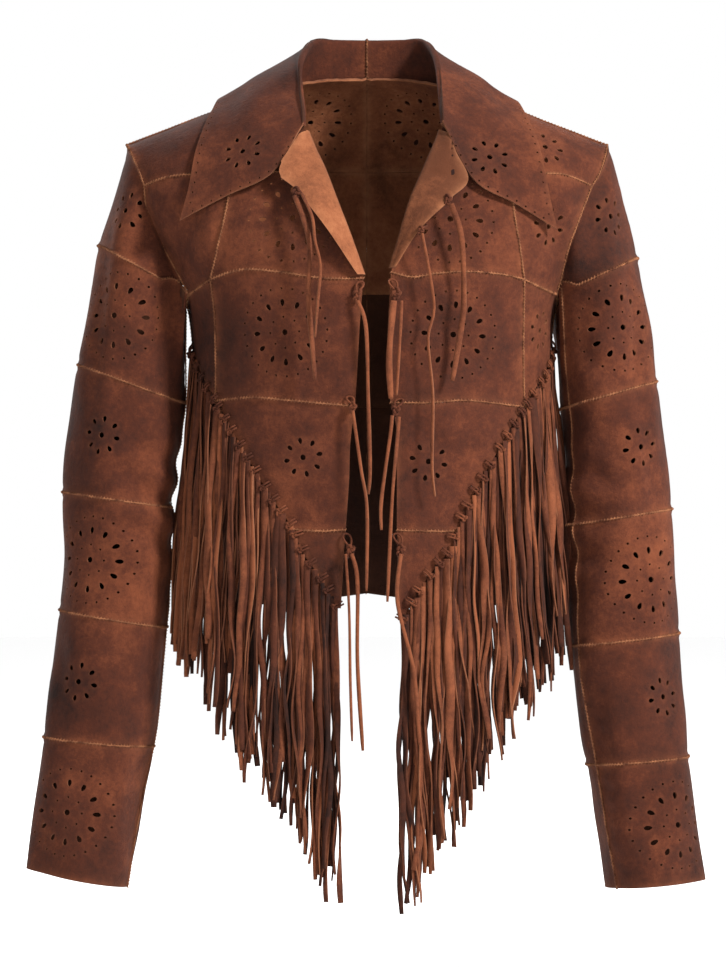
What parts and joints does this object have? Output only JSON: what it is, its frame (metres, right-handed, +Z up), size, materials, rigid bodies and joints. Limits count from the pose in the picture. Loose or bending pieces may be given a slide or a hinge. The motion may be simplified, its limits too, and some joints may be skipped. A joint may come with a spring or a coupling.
{
  "type": "fringed buckskin jacket",
  "caption": "Cropped suede jacket of stitched patches, worn open, with a pointed collar, turned-back lapels, laces and long fringe along its diagonal front hem.",
  "frame": {"origin": "middle of the neck opening, at the height of the inner ends of the shoulder seams", "axes": "+Z up, the front faces -Y, the wearer's left is at +X"},
  "size_m": [0.5761, 0.2453, 0.7592],
  "materials": {
    "suede": "napped brown suede, matt",
    "flesh_side": "paler flesh side of the hide, matt",
    "fringe": "cut suede strips with pale edges",
    "lace": "thin flat suede lace",
    "stitching": "thick tan twisted thread"
  },
  "bodies": {
    "root": {"right_front_yoke": "suede", "right_upper_centre": "suede", "right_upper_side": "suede", "right_mid_centre": "suede", "right_mid_side": "suede", "right_low_centre": "suede", "right_tip": "suede", "right_back_yoke": "suede", "right_back_upper": "suede", "right_back_mid": "suede", "right_back_low": "suede", "right_sleeve_1_cap": "suede", "right_sleeve_2_upper_arm": "suede", "right_sleeve_3_above_elbow": "suede", "right_sleeve_4_below_elbow": "suede", "right_sleeve_5_forearm": "suede", "right_sleeve_6_cuff": "suede", "right_collar": "suede", "right_lapel": "flesh_side", "right_fringe_side": "fringe", "right_fringe_middle": "fringe", "right_fringe_tip": "fringe", "left_front_yoke": "suede", "left_upper_centre": "suede", "left_upper_side": "suede", "left_mid_centre": "suede", "left_mid_side": "suede", "left_low_centre": "suede", "left_tip": "suede", "left_back_yoke": "suede", "left_back_upper": "suede", "left_back_mid": "suede", "left_back_low": "suede", "left_sleeve_1_cap": "suede", "left_sleeve_2_upper_arm": "suede", "left_sleeve_3_above_elbow": "suede", "left_sleeve_4_below_elbow": "suede", "left_sleeve_5_forearm": "suede", "left_sleeve_6_cuff": "suede", "left_collar": "suede", "left_lapel": "flesh_side", "left_fringe_side": "fringe", "left_fringe_middle": "fringe", "left_fringe_tip": "fringe", "tie_right_lapel_wide": "lace", "tie_right_lapel_thin": "lace", "tie_right_chest": "lace", "tie_right_waist": "lace", "tie_right_hem_wide": "lace", "tie_right_hem_thin": "lace", "tie_left_lapel_wide": "lace", "tie_left_lapel_thin": "lace", "tie_left_chest_wide": "lace", "tie_left_chest_thin": "lace", "tie_left_waist_in": "lace", "tie_left_waist_out": "lace", "tie_left_hem": "lace"}
  },
  "joints": []
}
